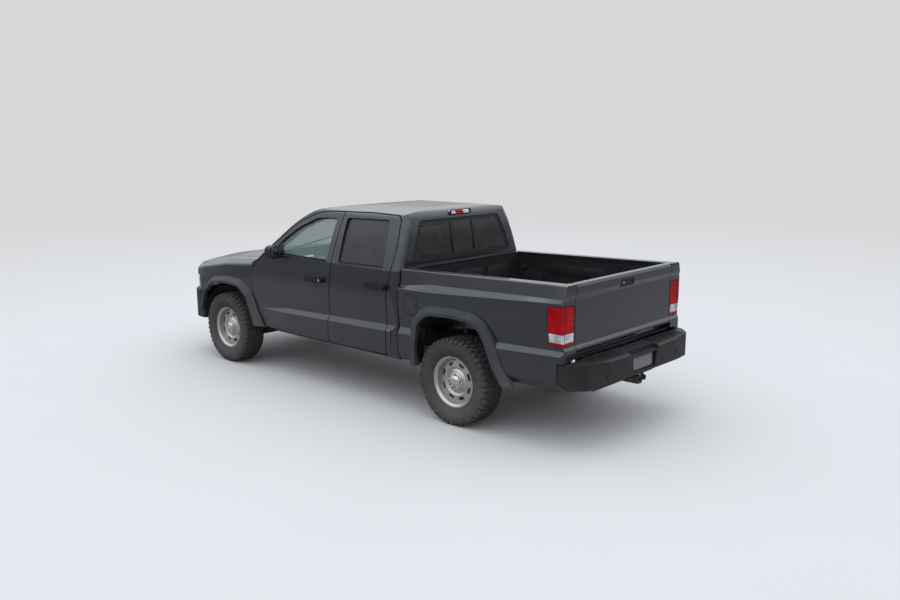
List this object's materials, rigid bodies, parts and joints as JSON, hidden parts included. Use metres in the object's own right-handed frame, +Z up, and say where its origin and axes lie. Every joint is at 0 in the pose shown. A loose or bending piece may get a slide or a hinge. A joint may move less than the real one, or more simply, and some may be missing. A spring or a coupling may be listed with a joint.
{
  "type": "crew cab pickup truck",
  "caption": "Mid-size pickup truck with four-door cab, open cargo bed with liner, ladder frame, opening doors, hood and tailgate, and steered front wheels.",
  "frame": {"origin": "on the ground under the centre of the overall box", "axes": "+X forward, +Y to the truck's left, +Z up"},
  "size_m": [5.5579, 2.0226, 1.7819],
  "materials": {
    "body_paint": "satin metallic",
    "black_plastic": "grained",
    "bumper_plastic": "satin",
    "flare_plastic": "satin",
    "chassis_black": "dusty satin",
    "cast_metal": "rough",
    "exhaust_steel": "dull",
    "clear_glass": "clear",
    "dark_glass": "tinted",
    "lamp_clear": "clear",
    "lamp_red": "gloss",
    "cabin_plastic": "grained",
    "cabin_carpet": "carpet",
    "seat_fabric": "woven",
    "rim_silver": "silver paint",
    "tyre_rubber": "matt"
  },
  "bodies": {
    "root": {"frame_rails": "chassis_black", "crossmembers": "chassis_black", "hitch": "chassis_black", "cab_side_left": "body_paint", "cab_side_right": "body_paint", "cab_roof": "body_paint", "cab_back": "body_paint", "cowl": "black_plastic", "cab_floor": "cabin_carpet", "cab_glass": "clear_glass", "fender_left": "body_paint", "fender_right": "body_paint", "headlamps": "lamp_clear", "grille": "black_plastic", "front_bumper": "bumper_plastic", "radiator": "chassis_black", "engine": "cast_metal", "bed_side_left": "body_paint", "bed_side_right": "body_paint", "bed_floor": "body_paint", "bed_panels": "body_paint", "bedliner": "black_plastic", "rear_lamps": "lamp_red", "rear_bumper": "black_plastic", "flares": "flare_plastic", "front_suspension": "chassis_black", "rear_axle": "chassis_black", "exhaust": "exhaust_steel", "fuel_tank": "chassis_black", "driveline": "chassis_black", "dashboard": "cabin_plastic", "front_seats": "seat_fabric", "rear_bench": "seat_fabric"},
    "hood": {"hood": "body_paint"},
    "tailgate": {"tailgate": "body_paint"},
    "fuel_door": {"fuel_door": "body_paint"},
    "steering_wheel": {"steering_wheel": "cabin_plastic"},
    "door_front_left": {"door_front_left": "body_paint", "window_front_left": "clear_glass", "fittings_front_left": "black_plastic"},
    "door_front_right": {"door_front_right": "body_paint", "window_front_right": "clear_glass", "fittings_front_right": "black_plastic"},
    "door_rear_left": {"door_rear_left": "body_paint", "window_rear_left": "dark_glass", "fittings_rear_left": "black_plastic"},
    "door_rear_right": {"door_rear_right": "body_paint", "window_rear_right": "dark_glass", "fittings_rear_right": "black_plastic"},
    "knuckle_left": {"knuckle_left": "chassis_black"},
    "knuckle_right": {"knuckle_right": "chassis_black"},
    "wheel_front_left": {"rim_front_left": "rim_silver", "tyre_front_left": "tyre_rubber"},
    "wheel_front_right": {"rim_front_right": "rim_silver", "tyre_front_right": "tyre_rubber"},
    "wheel_rear_left": {"rim_rear_left": "rim_silver", "tyre_rear_left": "tyre_rubber"},
    "wheel_rear_right": {"rim_rear_right": "rim_silver", "tyre_rear_right": "tyre_rubber"}
  },
  "joints": [
    {"name": "door_front_left_hinge", "type": "hinge", "parent": "root", "child": "door_front_left", "pos_m": [1.315, 0.876, 0.94], "axis": [0, 0, -1], "range_deg": [0, 60]},
    {"name": "door_front_right_hinge", "type": "hinge", "parent": "root", "child": "door_front_right", "pos_m": [1.315, -0.876, 0.94], "axis": [0, 0, 1], "range_deg": [0, 60]},
    {"name": "door_rear_left_hinge", "type": "hinge", "parent": "root", "child": "door_rear_left", "pos_m": [0.077, 0.876, 0.94], "axis": [0, 0, -1], "range_deg": [0, 65]},
    {"name": "door_rear_right_hinge", "type": "hinge", "parent": "root", "child": "door_rear_right", "pos_m": [0.077, -0.876, 0.94], "axis": [0, 0, 1], "range_deg": [0, 65]},
    {"name": "hood_hinge", "type": "hinge", "parent": "root", "child": "hood", "pos_m": [1.362, 0, 1.13], "axis": [0, -1, 0], "range_deg": [0, 55]},
    {"name": "tailgate_hinge", "type": "hinge", "parent": "root", "child": "tailgate", "pos_m": [-2.556, 0, 0.806], "axis": [0, -1, 0], "range_deg": [0, 90]},
    {"name": "fuel_door_hinge", "type": "hinge", "parent": "root", "child": "fuel_door", "pos_m": [-0.88, 0.893, 0.99], "axis": [0, 0, -1], "range_deg": [0, 90]},
    {"name": "steer_left", "type": "hinge", "parent": "root", "child": "knuckle_left", "pos_m": [1.87, 0.712, 0.373], "axis": [0, 0, 1], "range_deg": [-32, 32]},
    {"name": "steer_right", "type": "hinge", "parent": "root", "child": "knuckle_right", "pos_m": [1.87, -0.712, 0.373], "axis": [0, 0, 1], "range_deg": [-32, 32]},
    {"name": "steering_wheel_turn", "type": "hinge", "parent": "root", "child": "steering_wheel", "pos_m": [0.61, 0.385, 1.05], "axis": [-0.9135, 0, 0.4067], "range_deg": [-480, 480]},
    {"name": "wheel_front_left_spin", "type": "hinge", "parent": "knuckle_left", "child": "wheel_front_left", "pos_m": [1.87, 0.7975, 0.38], "axis": [0, 1, 0], "continuous": true},
    {"name": "wheel_front_right_spin", "type": "hinge", "parent": "knuckle_right", "child": "wheel_front_right", "pos_m": [1.87, -0.7975, 0.38], "axis": [0, 1, 0], "continuous": true},
    {"name": "wheel_rear_left_spin", "type": "hinge", "parent": "root", "child": "wheel_rear_left", "pos_m": [-1.465, 0.7975, 0.38], "axis": [0, 1, 0], "continuous": true},
    {"name": "wheel_rear_right_spin", "type": "hinge", "parent": "root", "child": "wheel_rear_right", "pos_m": [-1.465, -0.7975, 0.38], "axis": [0, 1, 0], "continuous": true}
  ],
  "couplings": [
    {"joint": "steer_right", "follows": "steer_left", "ratio": 1},
    {"joint": "steering_wheel_turn", "follows": "steer_left", "ratio": 15}
  ]
}
